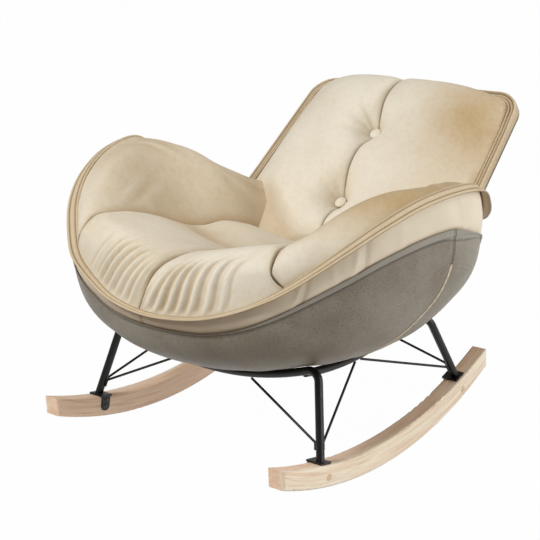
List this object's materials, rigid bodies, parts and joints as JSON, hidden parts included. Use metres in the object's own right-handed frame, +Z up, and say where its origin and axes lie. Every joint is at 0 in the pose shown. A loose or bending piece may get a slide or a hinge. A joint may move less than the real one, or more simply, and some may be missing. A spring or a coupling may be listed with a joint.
{
  "type": "rocking armchair",
  "caption": "Wide upholstered bowl armchair with a tufted reclined back, on a black tube frame with curved wooden rocker rails.",
  "frame": {"origin": "on the floor, midway between the two rocker rails, under the line on which they rest", "axes": "+X across the chair to the sitter's left, the sitter faces -Y, +Z up; the chair is stored in the pose in which it comes to rest by itself"},
  "size_m": [0.8914, 0.957, 0.6028],
  "materials": {
    "rail_wood": "satin clear lacquer on solid light hardwood",
    "black_steel": "fine matt powder coat",
    "zinc_steel": "zinc plated",
    "rubber": "matt",
    "shell_plastic": "moulded, matt",
    "plywood": "raw plywood",
    "black_cloth": "non-woven cloth",
    "taupe_leather": "fine grained, satin",
    "zip_tape": "woven tape",
    "foam": "open cell foam",
    "cream_trim": "stitched, over a piping core",
    "cream_leather": "soft leather look over foam, stated as fabric so that its mass is that of a cushion"
  },
  "bodies": {
    "root": {"rocker_rail_left": "rail_wood", "rocker_rail_right": "rail_wood", "front_crossbar": "black_steel", "rear_crossbar": "black_steel", "leg_front_left": "black_steel", "leg_front_right": "black_steel", "leg_rear_left": "black_steel", "leg_rear_right": "black_steel", "side_bar_left": "black_steel", "side_bar_right": "black_steel", "brace_front_left_cross": "black_steel", "brace_front_left_side": "black_steel", "brace_front_right_cross": "black_steel", "brace_front_right_side": "black_steel", "brace_rear_left_cross": "black_steel", "brace_rear_left_side": "black_steel", "brace_rear_right_cross": "black_steel", "brace_rear_right_side": "black_steel", "foot_plate_front_left": "black_steel", "foot_plate_front_right": "black_steel", "foot_plate_rear_left": "black_steel", "foot_plate_rear_right": "black_steel", "foot_screws": "zinc_steel", "rail_bolts": "zinc_steel", "frame_tabs": "black_steel", "tab_spacers": "rubber", "shell_bolts": "zinc_steel", "inner_shell": "shell_plastic", "seat_board": "plywood", "bottom_cloth": "black_cloth", "cover_front": "taupe_leather", "cover_back": "taupe_leather", "zip_left": "zip_tape", "zip_right": "zip_tape", "side_band": "cream_leather", "rim_flange": "cream_trim", "foam_liner": "foam", "seat_cushion_left": "cream_leather", "seat_cushion_right": "cream_leather", "arm_cushion_left": "cream_leather", "arm_cushion_right": "cream_leather", "back_board": "plywood", "back_posts": "zinc_steel", "back_rear_pad": "foam", "back_rear_cover": "taupe_leather", "back_border": "cream_trim", "back_cushion": "cream_leather", "back_buttons": "cream_leather", "button_ties": "zinc_steel"}
  },
  "joints": []
}
